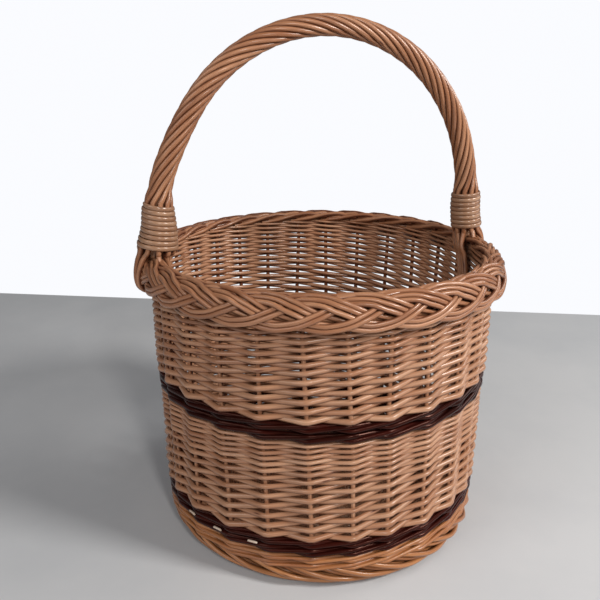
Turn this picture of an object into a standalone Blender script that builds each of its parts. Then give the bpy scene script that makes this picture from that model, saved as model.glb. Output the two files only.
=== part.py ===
"""Round willow market basket with a fixed roped handle.

The basket stands on its foot with +Z up and the handle's hoop over the X axis.
The origin is at the middle of the underside. All lengths are in metres.
"""
import math

import bpy
import bmesh
from mathutils import Matrix, Vector

TAU = 2 * math.pi

# Upright stakes, and the circle that they stand on
STAKES = 28
STAKE_DIAMETER = 0.0042
STAKE_TIP_DIAMETER = 0.0036
STAKE_SIDES = 5
WALL_RADIUS_FOOT = 0.1425
WALL_RADIUS_TOP = 0.148
STAKE_IN_BASE = 0.032
STAKE_BEND = 0.007
STAKE_IN_PLAIT = 0.006

# Wall courses, from the ground up, each lying on the last one
FOOT_BORDER_HEIGHT = 0.0147
FOOT_WALE_HEIGHT = 0.0184
LOWER_DARK_HEIGHT = 0.0141
LOWER_RANDING_HEIGHT = 0.0902
MIDDLE_DARK_HEIGHT = 0.0165
UPPER_RANDING_HEIGHT = 0.0906
ROW_PITCH = 0.0075
WALE_ROUND = 0.0080
ROD_OUTSIDE = 0.0058
ROD_INSIDE = 0.0044
ROD_HOLLOW = 0.0029
WALE_OUTSIDE = 0.0053
WALE_HOLLOW = 0.0041
WALE_INSIDE = 0.0049

# Foot border, the rope-like bottom edge that the basket rests on
FOOT_BORDER_WIDTH = 0.0165
FOOT_BORDER_BULGE = 0.0050
FOOT_BORDER_DEPTH = 0.0014
FOOT_OUTLINE_SHARES = ((0.0, 0.0), (0.63, 0.0), (0.92, 0.26), (1.0, 0.6), (0.95, 1.0), (0.0, 1.0))

# Plaited border round the rim
PLAIT_RISE = 0.0122
PLAIT_DROP = 0.0140
PLAIT_OVERHANG = 0.0087
PLAIT_INNER_OVERHANG = 0.0025
PLAIT_DEPTH = 0.0013
PLAIT_STEPS_PER_BIGHT = 2
PLAIT_TOP_SHARES = ((0.0, 0.40), (0.12, 0.84), (0.37, 1.0), (0.70, 0.78), (0.93, 0.22))
PLAIT_SKIRT_SHARES = ((1.0, 0.30), (0.80, 0.80), (0.36, 1.0), (0.0, 0.9), (0.0, 0.0))
CARVED_CORNERS = range(2, 8)
STRAP_CORNERS = range(4, 9)

# Base: sticks, slath and weave
STICK_DIAMETER = 0.0060
PIERCED_STICKS = 4
THROUGH_STICKS = 3
STICK_SPACING = 0.0064
EYE_WALL = 0.0020
EYE_TAPER = 0.0080
BASE_LIFT = 0.0085
BASE_CROWN = 0.0040
BASE_THICKNESS = 0.0106
BASE_HOLE_RADIUS = 0.0220
BASE_RIDGE = 0.0009
BASE_RIDGES = 2
STICK_END_GAP = 0.0040
STICK_FAN_START = 0.0020

# Handle bow, an arch that stands on two tapered legs inside the wall
HANDLE_INSET = 0.005
HANDLE_HALF_WIDTH = WALL_RADIUS_TOP - HANDLE_INSET
HANDLE_SPRING = 0.041
HANDLE_RISE = 0.1545
BOW_RADIUS = 0.0048
BOW_FOOT_RADIUS = 0.0070
BOW_LEG_RADIUS = 0.0035
BOW_TIP_RADIUS = 0.0022
BOW_LEG_LENGTH = 0.072
BOW_SWELL_LENGTH = 0.012
BOW_STEPS = 24
BOW_TO_STAKE = 0.0069

# Rods that are roped round the bow and end as straps at the border
STRANDS = 10
STRAND_DIAMETER = 0.0040
STRAND_SIDES = 4
STRAND_RADIUS = 0.0080
STRAND_LAP_RADIUS = 0.0097
TWIST_STEPS = 33
POINTS_PER_TURN = 8
STRAP_LANE = 0.0047
INNER_STRAP_LENGTH = 0.054

# Lappings of flat skein that bind the feet of the handle
LAP_TURNS_LEFT = 10
LAP_TURNS_RIGHT = 8
LAP_PITCH = 0.0041
SKEIN_WIDTH = 0.0036
SKEIN_THICKNESS = 0.0018
SKEIN_EDGE_SHARE = 0.7
LAP_LIFT = 0.0036
LAP_FLARE = 0.0008
LOOP_POINTS = 24

# Clearances
JOINT_GAP = 0.0003
CHANNEL_GAP = 0.00035
CUT_OVERRUN = 0.002

LEVELS = {}
level = 0.0
for course, height in (
    ("foot_border", FOOT_BORDER_HEIGHT),
    ("foot_wale", FOOT_WALE_HEIGHT),
    ("lower_dark_wale", LOWER_DARK_HEIGHT),
    ("lower_randing", LOWER_RANDING_HEIGHT),
    ("middle_dark_wale", MIDDLE_DARK_HEIGHT),
    ("upper_randing", UPPER_RANDING_HEIGHT),
):
    LEVELS[course] = (level, level + height)
    level += height + JOINT_GAP
WALL_TOP = level - JOINT_GAP

SPRING_LEVEL = WALL_TOP + HANDLE_SPRING
PLAIT_TOP = WALL_TOP + JOINT_GAP + PLAIT_RISE
LAP_BOTTOM = PLAIT_TOP + LAP_LIFT
STAKE_PHASE = BOW_TO_STAKE / WALL_RADIUS_TOP
BASE_TURN = STAKE_PHASE + TAU / STAKES / 2
BASE_EDGE_RADIUS = WALL_RADIUS_FOOT + FOOT_BORDER_BULGE - FOOT_BORDER_WIDTH - JOINT_GAP


def clear_scene():
    """Start from an empty scene."""
    for obj in list(bpy.data.objects):
        bpy.data.objects.remove(obj, do_unlink=True)


def willow(name, colour, roughness):
    """A willow finish as a plain Principled material."""
    material = bpy.data.materials.new(name)
    material.use_nodes = True
    shader = material.node_tree.nodes["Principled BSDF"]
    shader.inputs["Base Color"].default_value = (*colour, 1.0)
    shader.inputs["Roughness"].default_value = roughness
    shader.inputs["Metallic"].default_value = 0.0
    return material


def add_object(name, mesh, material):
    """Put a finished mesh in the scene as one named sub-part."""
    mesh.materials.append(material)
    obj = bpy.data.objects.new(name, mesh)
    bpy.context.scene.collection.objects.link(obj)
    return obj


def skin(sections, closed=False):
    """A closed mesh through equal sections, with flat ends unless it is a ring."""
    bm = bmesh.new()
    loops = [[bm.verts.new(point) for point in section] for section in sections]
    count = len(loops[0])
    pairs = list(zip(loops, loops[1:]))
    if closed:
        pairs.append((loops[-1], loops[0]))
    for near, far in pairs:
        for k in range(count):
            m = (k + 1) % count
            bm.faces.new((near[k], near[m], far[m], far[k]))
    if not closed:
        bm.faces.new(loops[0])
        bm.faces.new(loops[-1])
    bmesh.ops.recalc_face_normals(bm, faces=bm.faces)
    mesh = bpy.data.meshes.new("skin")
    bm.to_mesh(mesh)
    bm.free()
    mesh.shade_smooth()
    mesh.set_sharp_from_angle(angle=math.radians(50))
    return mesh


def rod_mesh(points, radii, sides=6, heights=None):
    """A rod along points. Heights, where given, are its half thicknesses along Z."""
    heights = heights or radii
    sections = []
    across = None
    for i, point in enumerate(points):
        before = points[max(i - 1, 0)]
        after = points[min(i + 1, len(points) - 1)]
        along = (after - before).normalized()
        if across is None:
            across = along.cross(Vector((0, 0, 1)))
            if across.length < 0.1:
                across = along.cross(Vector((0, 1, 0)))
        across = (across - along * across.dot(along)).normalized()
        up = across.cross(along)
        section = []
        for k in range(sides):
            turn = TAU * (k + 0.5) / sides
            offset = across * (radii[i] * math.cos(turn)) + up * (heights[i] * math.sin(turn))
            section.append(point + offset)
        sections.append(section)
    return skin(sections)


def split_faces(mesh):
    """Split slightly twisted faces into flat triangles."""
    bm = bmesh.new()
    bm.from_mesh(mesh)
    bmesh.ops.triangulate(bm, faces=bm.faces)
    bm.to_mesh(mesh)
    bm.free()
    return mesh


def join_meshes(meshes):
    """Several separate solids in one mesh."""
    bm = bmesh.new()
    for mesh in meshes:
        bm.from_mesh(mesh)
        bpy.data.meshes.remove(mesh)
    joined = bpy.data.meshes.new("joined")
    bm.to_mesh(joined)
    bm.free()
    return joined


def ring_mesh(outline, steps, phase=0.0):
    """A ring whose section at each step is given by outline(step, angle)."""
    sections = []
    for step in range(steps):
        angle = TAU * step / steps + phase
        direction = Vector((math.sin(angle), -math.cos(angle), 0))
        section = [direction * r + Vector((0, 0, z)) for r, z in outline(step, angle)]
        sections.append(section)
    return skin(sections, closed=True)


def add_cutter(name, mesh):
    """A guide solid that only cuts other pieces."""
    cutter = bpy.data.objects.new(name, mesh)
    bpy.context.scene.collection.objects.link(cutter)
    cutter.hide_render = True
    cutter.display_type = "WIRE"
    return cutter


def cut(obj, cutter):
    """Cut a guide solid out of a piece."""
    modifier = obj.modifiers.new(cutter.name, "BOOLEAN")
    modifier.operation = "DIFFERENCE"
    modifier.solver = "EXACT"
    modifier.object = cutter


def stake_radius(z):
    """Radius of the circle of stakes at a height."""
    return WALL_RADIUS_FOOT + (WALL_RADIUS_TOP - WALL_RADIUS_FOOT) * z / WALL_TOP


def on_circle(radius, angle, z):
    """A point at an angle from the front, -Y, towards +X."""
    return Vector((radius * math.sin(angle), -radius * math.cos(angle), z))


def stake_angle(i):
    """Angle of a stake. A stake stands beside each leg of the bow."""
    return STAKE_PHASE + TAU * i / STAKES


def base_level(radius):
    """Height of the middle of the crowned base."""
    share = min(radius / BASE_EDGE_RADIUS, 1.0)
    return BASE_LIFT + BASE_CROWN * (1 - share * share)


def stake_points(angle, extra=0.0):
    """Route of a stake: out along the base, round its bend and up the wall."""
    inner = BASE_EDGE_RADIUS - STAKE_IN_BASE - extra
    bend = WALL_RADIUS_FOOT - STAKE_BEND
    low = base_level(bend)
    turned = stake_radius(low + STAKE_BEND)
    top = WALL_TOP + JOINT_GAP + STAKE_IN_PLAIT + extra
    route = [
        (inner, base_level(inner)),
        (bend, low),
        (turned, low + STAKE_BEND),
        (stake_radius(top), top),
    ]
    return [on_circle(r, angle, z) for r, z in route]


def stake_radii(extra=0.0):
    """Half thickness at each point of a stake's route, thinner towards the tip."""
    thick = STAKE_DIAMETER / 2 + extra
    thin = STAKE_TIP_DIAMETER / 2 + extra
    return [thick] * 3 + [thin]


def stick_routes():
    """Routes of the base sticks, which lie crossed in the slath and then fan out."""
    ends = 2 * (PIERCED_STICKS + THROUGH_STICKS)
    reach = BASE_EDGE_RADIUS - STICK_END_GAP
    routes = []
    for count, heading in ((PIERCED_STICKS, BASE_TURN), (THROUGH_STICKS, BASE_TURN + TAU / 4)):
        for k in range(count):
            place = k - (count - 1) / 2
            fan = TAU * place / ends
            forward = Vector((math.cos(heading), math.sin(heading), 0))
            sideways = Vector((-math.sin(heading), math.cos(heading), 0))
            lane = sideways * (place * STICK_SPACING)
            crossed = eye_reach() + STICK_FAN_START
            route = []
            for end in (-1, 1):
                tip = (forward * (end * math.cos(fan)) + sideways * math.sin(fan)) * reach
                half = [tip, lane + forward * (end * crossed)]
                half += [lane + forward * (end * eye_reach()), lane + forward * (end * slot_half())]
                route += half if end < 0 else half[::-1]
            for point in route:
                point.z = base_level(point.to_2d().length)
            routes.append((count == PIERCED_STICKS, route))
    return routes


def slot_half():
    """Half the length of the slot that the through sticks lie in."""
    return (THROUGH_STICKS * STICK_SPACING) / 2 + JOINT_GAP


def eye_reach():
    """How far from its middle a pierced stick is swollen by its eye."""
    return slot_half() + EYE_TAPER


def make_stakes(honey):
    """The upright stakes, each on its own."""
    for i in range(STAKES):
        mesh = rod_mesh(stake_points(stake_angle(i)), stake_radii(), STAKE_SIDES)
        add_object(f"stake_{i + 1:02d}", mesh, honey)


def make_channel_cutter():
    """Guide solid for the places where stakes, sticks and the bow's legs run."""
    meshes = []
    for i in range(STAKES):
        points = stake_points(stake_angle(i), JOINT_GAP)
        square = [r * math.sqrt(2) for r in stake_radii(CHANNEL_GAP)]
        meshes.append(rod_mesh(points, square, 4))
    for side in (-1, 1):
        points, radii = bow_leg(side)
        points = [points[0] + Vector((0, 0, -JOINT_GAP))] + points[1:]
        meshes.append(rod_mesh(points, [r + CHANNEL_GAP for r in radii]))
    return add_cutter("wall_channels", join_meshes(meshes))


def make_randing(name, material, channels):
    """A band of plain weave: each row passes outside one stake and inside the next."""
    bottom, top = LEVELS[name]
    rows = max(2, round((top - bottom) / ROW_PITCH))

    def outline(step, _angle):
        points = [(stake_radius(top) - ROD_INSIDE, top), (stake_radius(bottom) - ROD_INSIDE, bottom)]
        for row in range(rows):
            z = bottom + (top - bottom) * (row / (rows - 1))
            reach = ROD_OUTSIDE if (row + step) % 2 else ROD_HOLLOW
            points.append((stake_radius(z) + reach, z))
        return points

    band = add_object(name, ring_mesh(outline, STAKES, STAKE_PHASE), material)
    cut(band, channels)


def make_wale(name, material, channels):
    """A band of waling: its rounds lie on each other like ropes."""
    bottom, top = LEVELS[name]
    rounds = max(1, round((top - bottom) / WALE_ROUND))

    def outline(_step, _angle):
        points = [(stake_radius(top) - WALE_INSIDE, top), (stake_radius(bottom) - WALE_INSIDE, bottom)]
        for k in range(2 * rounds + 1):
            z = bottom + (top - bottom) * k / (2 * rounds)
            reach = WALE_OUTSIDE if k % 2 else WALE_HOLLOW
            points.append((stake_radius(z) + reach, z))
        return points

    band = add_object(name, ring_mesh(outline, STAKES, BASE_TURN), material)
    cut(band, channels)


def make_foot_border(honey, channels):
    """The bottom edge, flat below, with slanting lobes like a rope's round its outside."""
    inner = WALL_RADIUS_FOOT + FOOT_BORDER_BULGE - FOOT_BORDER_WIDTH

    def outline(step, _angle):
        points = []
        for across, up in FOOT_OUTLINE_SHARES:
            hollow = FOOT_BORDER_DEPTH if (step % 2 and 0 < up < 1) else 0.0
            points.append((inner + across * FOOT_BORDER_WIDTH - hollow, up * FOOT_BORDER_HEIGHT))
        return points

    ring = add_object("foot_border", ring_mesh(outline, 2 * STAKES, BASE_TURN / 2), honey)
    cut(ring, channels)


def plait_outline():
    """Section of the plaited border, from the wall's inner top round to its outer side."""
    seat = WALL_TOP + JOINT_GAP
    inner = WALL_RADIUS_TOP - ROD_INSIDE - PLAIT_INNER_OVERHANG
    hook = WALL_RADIUS_TOP + ROD_OUTSIDE + CHANNEL_GAP
    outer = WALL_RADIUS_TOP + ROD_OUTSIDE + PLAIT_OVERHANG
    points = [(inner, seat)]
    for across, up in PLAIT_TOP_SHARES:
        points.append((inner + across * (outer - inner), seat + up * PLAIT_RISE))
    for across, down in PLAIT_SKIRT_SHARES:
        points.append((hook + across * (outer - hook), seat - down * PLAIT_DROP))
    return points


def make_plait(honey, channels):
    """The plaited border: one ring, with a slanting swell for each bight of the plait."""
    section = plait_outline()
    middle_r = (section[1][0] + section[6][0]) / 2
    middle_z = (section[3][1] + section[8][1]) / 2

    def outline(_step, angle):
        points = []
        for k, (r, z) in enumerate(section):
            if k in CARVED_CORNERS:
                swell = 0.5 - 0.5 * math.cos(STAKES * angle - TAU * k / len(section))
                away = Vector((r - middle_r, z - middle_z)).normalized()
                r -= away.x * PLAIT_DEPTH * swell
                z -= away.y * PLAIT_DEPTH * swell
            points.append((r, z))
        return points

    ring = add_object("plaited_border", ring_mesh(outline, PLAIT_STEPS_PER_BIGHT * STAKES), honey)
    cut(ring, channels)


def make_base(honey, channels):
    """The crowned base: pierced and through sticks, and the weave round them."""
    through = THROUGH_STICKS * STICK_SPACING + 2 * JOINT_GAP
    slot = bpy.data.meshes.new("slath_slot")
    bm = bmesh.new()
    bmesh.ops.create_cube(bm, size=1.0)
    room = STICK_DIAMETER + 2 * JOINT_GAP
    width = PIERCED_STICKS * STICK_SPACING + 2 * CUT_OVERRUN
    bmesh.ops.scale(bm, verts=bm.verts, vec=(through, width, room))
    bmesh.ops.rotate(bm, verts=bm.verts, matrix=Matrix.Rotation(BASE_TURN, 3, "Z"))
    bmesh.ops.translate(bm, verts=bm.verts, vec=(0, 0, base_level(0)))
    bm.to_mesh(slot)
    bm.free()
    slot_cutter = add_cutter("slath_slot", slot)
    guides = []
    routes = stick_routes()
    for number, (pierced, route) in enumerate(routes, start=1):
        thick = STICK_DIAMETER / 2
        swollen = thick + EYE_WALL + JOINT_GAP if pierced else thick
        heights = [thick, thick, thick, swollen, swollen, thick, thick, thick]
        radii = [thick] * len(route)
        body = split_faces(rod_mesh(route, radii, 6, heights))
        stick = add_object(f"base_stick_{number}", body, honey)
        if pierced:
            cut(stick, slot_cutter)
        wide = [r + CHANNEL_GAP for r in radii]
        tall = [h + CHANNEL_GAP for h in heights]
        longer = [route[0] * ((route[0].length + JOINT_GAP) / route[0].length)] + route[1:-1]
        longer.append(route[-1] * ((route[-1].length + JOINT_GAP) / route[-1].length))
        guides.append(rod_mesh(longer, wide, 6, tall))
    stick_channels = [add_cutter("pierced_channels", join_meshes(guides[:PIERCED_STICKS]))]
    stick_channels.append(add_cutter("through_channels", join_meshes(guides[PIERCED_STICKS:])))

    def outline(_step, _angle):
        points = []
        for side in (-1, 1):
            for k in range(2 * BASE_RIDGES + 1):
                share = k / (2 * BASE_RIDGES)
                share = share if side < 0 else 1 - share
                r = BASE_HOLE_RADIUS + (BASE_EDGE_RADIUS - BASE_HOLE_RADIUS) * share
                half = BASE_THICKNESS / 2 - (0 if k % 2 else BASE_RIDGE)
                points.append((r, base_level(r) + side * half))
        return points

    weave = add_object("base_weave", ring_mesh(outline, STAKES, BASE_TURN), honey)
    cut(weave, channels)
    for guide in stick_channels:
        cut(weave, guide)


def bow_x(z):
    """Distance of the bow's leg from the axis, below the spring of its arch."""
    if z <= WALL_TOP:
        return stake_radius(z)
    share = min((SPRING_LEVEL - z) / HANDLE_SPRING, 1.0)
    ease = share * share * (3 - 2 * share)
    return HANDLE_HALF_WIDTH + (WALL_RADIUS_TOP - HANDLE_HALF_WIDTH) * ease


def bow_leg(side):
    """Points and half thicknesses of one leg of the bow, from its tip in the wall upwards."""
    tip = WALL_TOP - BOW_LEG_LENGTH
    heights = [tip, WALL_TOP - BOW_LEG_LENGTH / 2, WALL_TOP, PLAIT_TOP]
    radii = [BOW_TIP_RADIUS, (BOW_TIP_RADIUS + BOW_LEG_RADIUS) / 2, BOW_LEG_RADIUS, BOW_LEG_RADIUS]
    return [Vector((side * bow_x(z), 0, z)) for z in heights], radii


def lap_top(side):
    """Height where a lapping ends, below the roped part of the handle."""
    turns = LAP_TURNS_LEFT if side < 0 else LAP_TURNS_RIGHT
    return LAP_BOTTOM + turns * LAP_PITCH + SKEIN_WIDTH


def arch_samples():
    """Dense middle line of the handle between the laps' lower edges, left to right."""
    points = []
    legs = 12
    arc = 120
    for k in range(legs):
        z = LAP_BOTTOM + (SPRING_LEVEL - LAP_BOTTOM) * k / legs
        points.append(Vector((-bow_x(z), 0, z)))
    for k in range(arc + 1):
        turn = math.pi * (1 - k / arc)
        x = HANDLE_HALF_WIDTH * math.cos(turn)
        z = SPRING_LEVEL + HANDLE_RISE * math.sin(turn)
        points.append(Vector((x, 0, z)))
    points += [Vector((-p.x, 0, p.z)) for p in points[legs - 1::-1]]
    return points


class HandleLine:
    """The handle's middle line, read by the length walked along it."""

    def __init__(self):
        self.points = arch_samples()
        self.lengths = [0.0]
        for near, far in zip(self.points, self.points[1:]):
            self.lengths.append(self.lengths[-1] + (far - near).length)
        self.total = self.lengths[-1]

    def at(self, length):
        """Point and outward normal at a length along the line."""
        i = 1
        while i < len(self.lengths) - 1 and self.lengths[i] < length:
            i += 1
        near, far = self.points[i - 1], self.points[i]
        share = (length - self.lengths[i - 1]) / (self.lengths[i] - self.lengths[i - 1])
        along = (far - near).normalized()
        outward = Vector((-along.z, 0, along.x))
        return near.lerp(far, share), outward

    def x_at(self, z):
        """Distance of the line from the middle at a height on a leg."""
        point, _outward = self.at(self.length_at(z, -1))
        return -point.x

    def length_at(self, z, side):
        """Length where the line passes a height on the left or the right leg."""
        i = 1
        while self.points[i].z < z:
            i += 1
        near, far = self.points[i - 1], self.points[i]
        share = (z - near.z) / (far.z - near.z)
        length = self.lengths[i - 1] + share * (self.lengths[i] - self.lengths[i - 1])
        return length if side < 0 else self.total - length


def handle_stations(line, steps):
    """Lengths along the handle, each with 0 inside a lapping and 1 on the roped arch."""
    start = line.length_at(lap_top(-1), -1)
    finish = line.length_at(lap_top(1), 1)
    first = start + BOW_SWELL_LENGTH
    last = finish - BOW_SWELL_LENGTH
    stations = [(0.0, 0), (start / 2, 0), (start, 0)]
    stations += [(first + (last - first) * k / steps, 1) for k in range(steps + 1)]
    stations += [(finish, 0), ((finish + line.total) / 2, 0), (line.total, 0)]
    return stations


def make_bow(honey, line):
    """The bow: a peeled rod with tapered legs, thicker where the laps bind it."""
    left, left_radii = bow_leg(-1)
    points = list(left)
    radii = list(left_radii)
    for length, rope in handle_stations(line, BOW_STEPS):
        points.append(line.at(length)[0])
        radii.append(BOW_FOOT_RADIUS + (BOW_RADIUS - BOW_FOOT_RADIUS) * rope)
    right, right_radii = bow_leg(1)
    points += right[::-1]
    radii += right_radii[::-1]
    add_object("handle_bow", rod_mesh(points, radii), honey)


def strap_route(turn, side, outline):
    """Points of a strand below the lapping: outer strap, inner strap or short end."""
    out = math.cos(turn)
    across = math.sin(turn)
    lay = STRAND_DIAMETER / 2 + JOINT_GAP
    lane = math.copysign(STRAP_LANE * (0.5 if abs(across) < 0.5 else 1.5), across)
    if abs(out) < 0.1:
        foot = bow_x(LAP_BOTTOM)
        return [Vector((side * foot, across * STRAND_LAP_RADIUS, PLAIT_TOP + JOINT_GAP))]
    if out > 0:
        route = [offset_corner(outline, k, lay) for k in STRAP_CORNERS]
        end = stake_radius(route[-1][1]) + ROD_OUTSIDE + JOINT_GAP
        route.append((end, route[-1][1] - JOINT_GAP))
    else:
        route = [(outline[0][0] - lay, outline[1][1]), (outline[0][0] - lay, outline[0][1])]
        flat = math.cos(math.pi / STAKES)
        bottom = WALL_TOP - INNER_STRAP_LENGTH
        for z in (WALL_TOP - PLAIT_DROP, bottom):
            route.append(((stake_radius(z) - ROD_INSIDE) * flat - lay, z))
    points = []
    for r, z in route:
        points.append(Vector((side * math.sqrt(r * r - lane * lane), lane, z)))
    return points


def offset_corner(outline, k, distance):
    """A corner of a section moved outwards, square to both of its edges."""
    before, here, after = (Vector(outline[i]) for i in (k - 1, k, k + 1))
    first = (here - before).normalized()
    second = (after - here).normalized()
    outward = Vector((-first.y - second.y, first.x + second.x)).normalized()
    spread = abs(outward.dot(Vector((-first.y, first.x))))
    moved = here + outward * (distance / spread)
    return moved.x, moved.y


def strand_points(number, line):
    """Route of one strand, from its left strap over the arch to its right strap."""
    outline = plait_outline()
    first = TAU * (number + 0.5) / STRANDS
    last = first - TAU * TWIST_STEPS / STRANDS
    start = line.length_at(lap_top(-1), -1)
    finish = line.length_at(lap_top(1), 1)
    points = strap_route(first, -1, outline)[::-1]
    steps = round(TWIST_STEPS / STRANDS * POINTS_PER_TURN)
    for length, rope in handle_stations(line, steps):
        share = min(max((length - start) / (finish - start), 0.0), 1.0)
        turn = first + (last - first) * share
        point, outward = line.at(length)
        radius = STRAND_LAP_RADIUS + (STRAND_RADIUS - STRAND_LAP_RADIUS) * rope
        offset = outward * math.cos(turn) + Vector((0, math.sin(turn), 0))
        points.append(point + offset * radius)
    return points + strap_route(last, 1, outline)


def make_strands(honey, line):
    """The rods that are roped round the bow."""
    for number in range(STRANDS):
        points = strand_points(number, line)
        radii = [STRAND_DIAMETER / 2] * len(points)
        add_object(f"handle_strand_{number + 1:02d}", rod_mesh(points, radii, STRAND_SIDES), honey)


def make_lapping(name, side, turns, skein, line):
    """One winding of flat skein round the foot of the handle, as one unbroken band."""
    inner = STRAND_LAP_RADIUS + STRAND_DIAMETER / 2 + JOINT_GAP
    steps = turns * LOOP_POINTS
    sections = []
    middles = []
    for k in range(steps + 1):
        share = k / steps
        turn = TAU * k / LOOP_POINTS
        z = LAP_BOTTOM + SKEIN_WIDTH / 2 + turns * LAP_PITCH * share
        point = Vector((side * line.x_at(z), 0, z))
        reach = Vector((side * math.cos(turn), math.sin(turn), 0))
        half = Vector((0, 0, SKEIN_WIDTH / 2))
        low = inner + LAP_FLARE * (1 - share)
        high = low + SKEIN_THICKNESS
        sections.append([
            point + reach * low - half,
            point + reach * low + half,
            point + reach * high + half * SKEIN_EDGE_SHARE,
            point + reach * high - half * SKEIN_EDGE_SHARE,
        ])
        middles.append(point + reach * (low + SKEIN_THICKNESS / 2))
    gap = min(
        (middles[i] - middles[j]).length
        for i in range(len(middles))
        for j in range(i + LOOP_POINTS // 2, min(i + 2 * LOOP_POINTS, len(middles)))
    )
    print(name, "least gap to itself in mm:", round((gap - SKEIN_WIDTH) * 1000, 2))
    add_object(name, skin(sections), skein)


def main():
    clear_scene()
    honey = willow("honey_willow", (0.42, 0.23, 0.12), 0.45)
    buff = willow("buff_willow", (0.50, 0.31, 0.18), 0.5)
    dark = willow("dark_willow", (0.035, 0.014, 0.009), 0.4)
    skein = willow("pale_skein", (0.46, 0.30, 0.19), 0.4)
    line = HandleLine()
    channels = make_channel_cutter()
    make_stakes(buff)
    make_base(buff, channels)
    make_foot_border(honey, channels)
    make_wale("foot_wale", honey, channels)
    make_wale("lower_dark_wale", dark, channels)
    make_randing("lower_randing", buff, channels)
    make_wale("middle_dark_wale", dark, channels)
    make_randing("upper_randing", buff, channels)
    make_plait(honey, channels)
    make_bow(honey, line)
    make_strands(honey, line)
    make_lapping("left_lapping", -1, LAP_TURNS_LEFT, skein, line)
    make_lapping("right_lapping", 1, LAP_TURNS_RIGHT, skein, line)


main()
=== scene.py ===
import math
import random

import bpy
import numpy as np
from mathutils import Matrix, Vector


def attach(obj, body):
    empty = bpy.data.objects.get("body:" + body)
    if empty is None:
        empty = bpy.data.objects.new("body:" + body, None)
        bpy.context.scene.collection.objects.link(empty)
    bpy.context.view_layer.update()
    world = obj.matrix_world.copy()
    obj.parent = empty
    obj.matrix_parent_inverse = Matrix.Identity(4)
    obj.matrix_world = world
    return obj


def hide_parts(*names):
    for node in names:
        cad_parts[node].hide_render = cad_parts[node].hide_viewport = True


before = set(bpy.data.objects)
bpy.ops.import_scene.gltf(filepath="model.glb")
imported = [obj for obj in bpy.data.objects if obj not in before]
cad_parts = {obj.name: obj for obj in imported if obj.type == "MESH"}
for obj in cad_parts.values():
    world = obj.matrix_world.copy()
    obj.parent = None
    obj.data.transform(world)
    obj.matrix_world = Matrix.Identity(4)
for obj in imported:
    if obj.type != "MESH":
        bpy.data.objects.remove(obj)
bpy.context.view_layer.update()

TAU = 2 * math.pi
MM = 0.001

# Stakes and the wall that they carry
STAKES = 28
BAY = TAU / STAKES
STAKE_PHASE = 0.0069 / 0.148
WALL_RADIUS_FOOT = 0.1425
WALL_RADIUS_TOP = 0.148
WALL_TOP = 0.2460
WALL_FULLNESS = 0.0009
STAKE_HALF = 0.0022
STAKE_TIP_HALF = 0.0019
STAKE_OUT = 0.0005

# Levels of the courses
FOOT_WALE = (0.0180, 0.0318)
LOWER_DARK = (0.0320, 0.0482)
MIDDLE_DARK = (0.1380, 0.1554)

# Heights in millimetres of the rods outside the stakes, one for every second row
LOWER_ROWS = [50.3, 59.2, 68.1, 77.6, 87.0, 96.0, 104.1, 110.8, 116.6, 121.7, 126.6, 131.5, 136.4]
UPPER_ROWS = [157.6, 166.2, 174.5, 182.4, 190.5, 198.0, 204.7, 211.0,
              217.2, 223.0, 228.4, 233.5, 238.4, 243.2, 247.6]

# Rods of the weave: half thickness at butt and tip, and how far they swing outside and inside a stake
WEAVE_BUTT_HALF = 0.00250
WEAVE_TIP_HALF = 0.00150
WEAVE_OUTSIDE = 0.94
WEAVE_INSIDE = -0.74
WEAVE_REAR_THINNER = 0.08
WEAVE_RIPPLE = 0.00022
WEAVE_SINK = 0.0006

# Waling: its rounds, and how far its rods swing outside and inside a stake
WALE_ROUNDS = 2
WALE_OUTSIDE = 0.86
WALE_INSIDE = -0.80
WALE_TAPER_BAYS = 2.5

# Rolled foot: its lean to one side, its layers of rods, and the rings that close it to the base
FOOT_SHIFT = np.array([0.0020, -0.0036, 0.0])
FOOT_ROD_HALF = 0.00225
FOOT_LAYER_THINNER = 0.0002
FOOT_LAYER_INSETS = (0.0, 0.0042, 0.0060)
FOOT_LAYER_STEPS = (0, 0.45, 0.75)
FOOT_RINGS = ((0.1338, 0.0100), (0.1360, 0.0134), (0.1381, 0.0168))
FOOT_RING_HALF = 0.0022

# Plait: its outline from the inner edge to the outer, its rods, and how it rolls over at the right
REAR_DROP = 0.0025
PLAIT_SHARES = [-0.5, -0.3, -0.12, 0.0, 0.1, 0.28, 0.45, 0.62, 0.8, 1.0, 1.1]
PLAIT_RADII = [0.1443, 0.1437, 0.1438, 0.1446, 0.1467, 0.1511, 0.1549, 0.1572, 0.1585, 0.1582, 0.1568]
PLAIT_LEVELS = [0.2425, 0.2475, 0.2520, 0.2545, 0.2556, 0.2552, 0.2526, 0.2478, 0.2415, 0.2343, 0.2318]
PLAIT_ROD_HALF = 0.00208
PLAIT_ROD_SPACING = 0.0042
PLAIT_MIDDLE_SINK = 0.0034
ROLL_TURN = 1.22
ROLL_DROP = 0.0030
ROLL_OUT = 0.0024

# Base
BASE_EDGE = 0.1307
BASE_LIFT = 0.0085
BASE_CROWN = 0.0040
STICK_HALF = 0.0030
STICK_SPACING = 0.0064
STICK_END_GAP = 0.004
STICK_KNEE = 0.018
BASE_STICKS = 7
BASE_TURN = STAKE_PHASE + BAY / 2
PAIRING_START = 0.0235
PAIRING_ROWS = 33
PAIRING_SWING = 0.0036
LASHING_RADIUS = 0.0162
LASHING_SPACING = 0.0034
LASHING_CORNER = 0.0022
LASHING_SWING = 0.0042
LASHING_HALF = 0.0017

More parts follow.
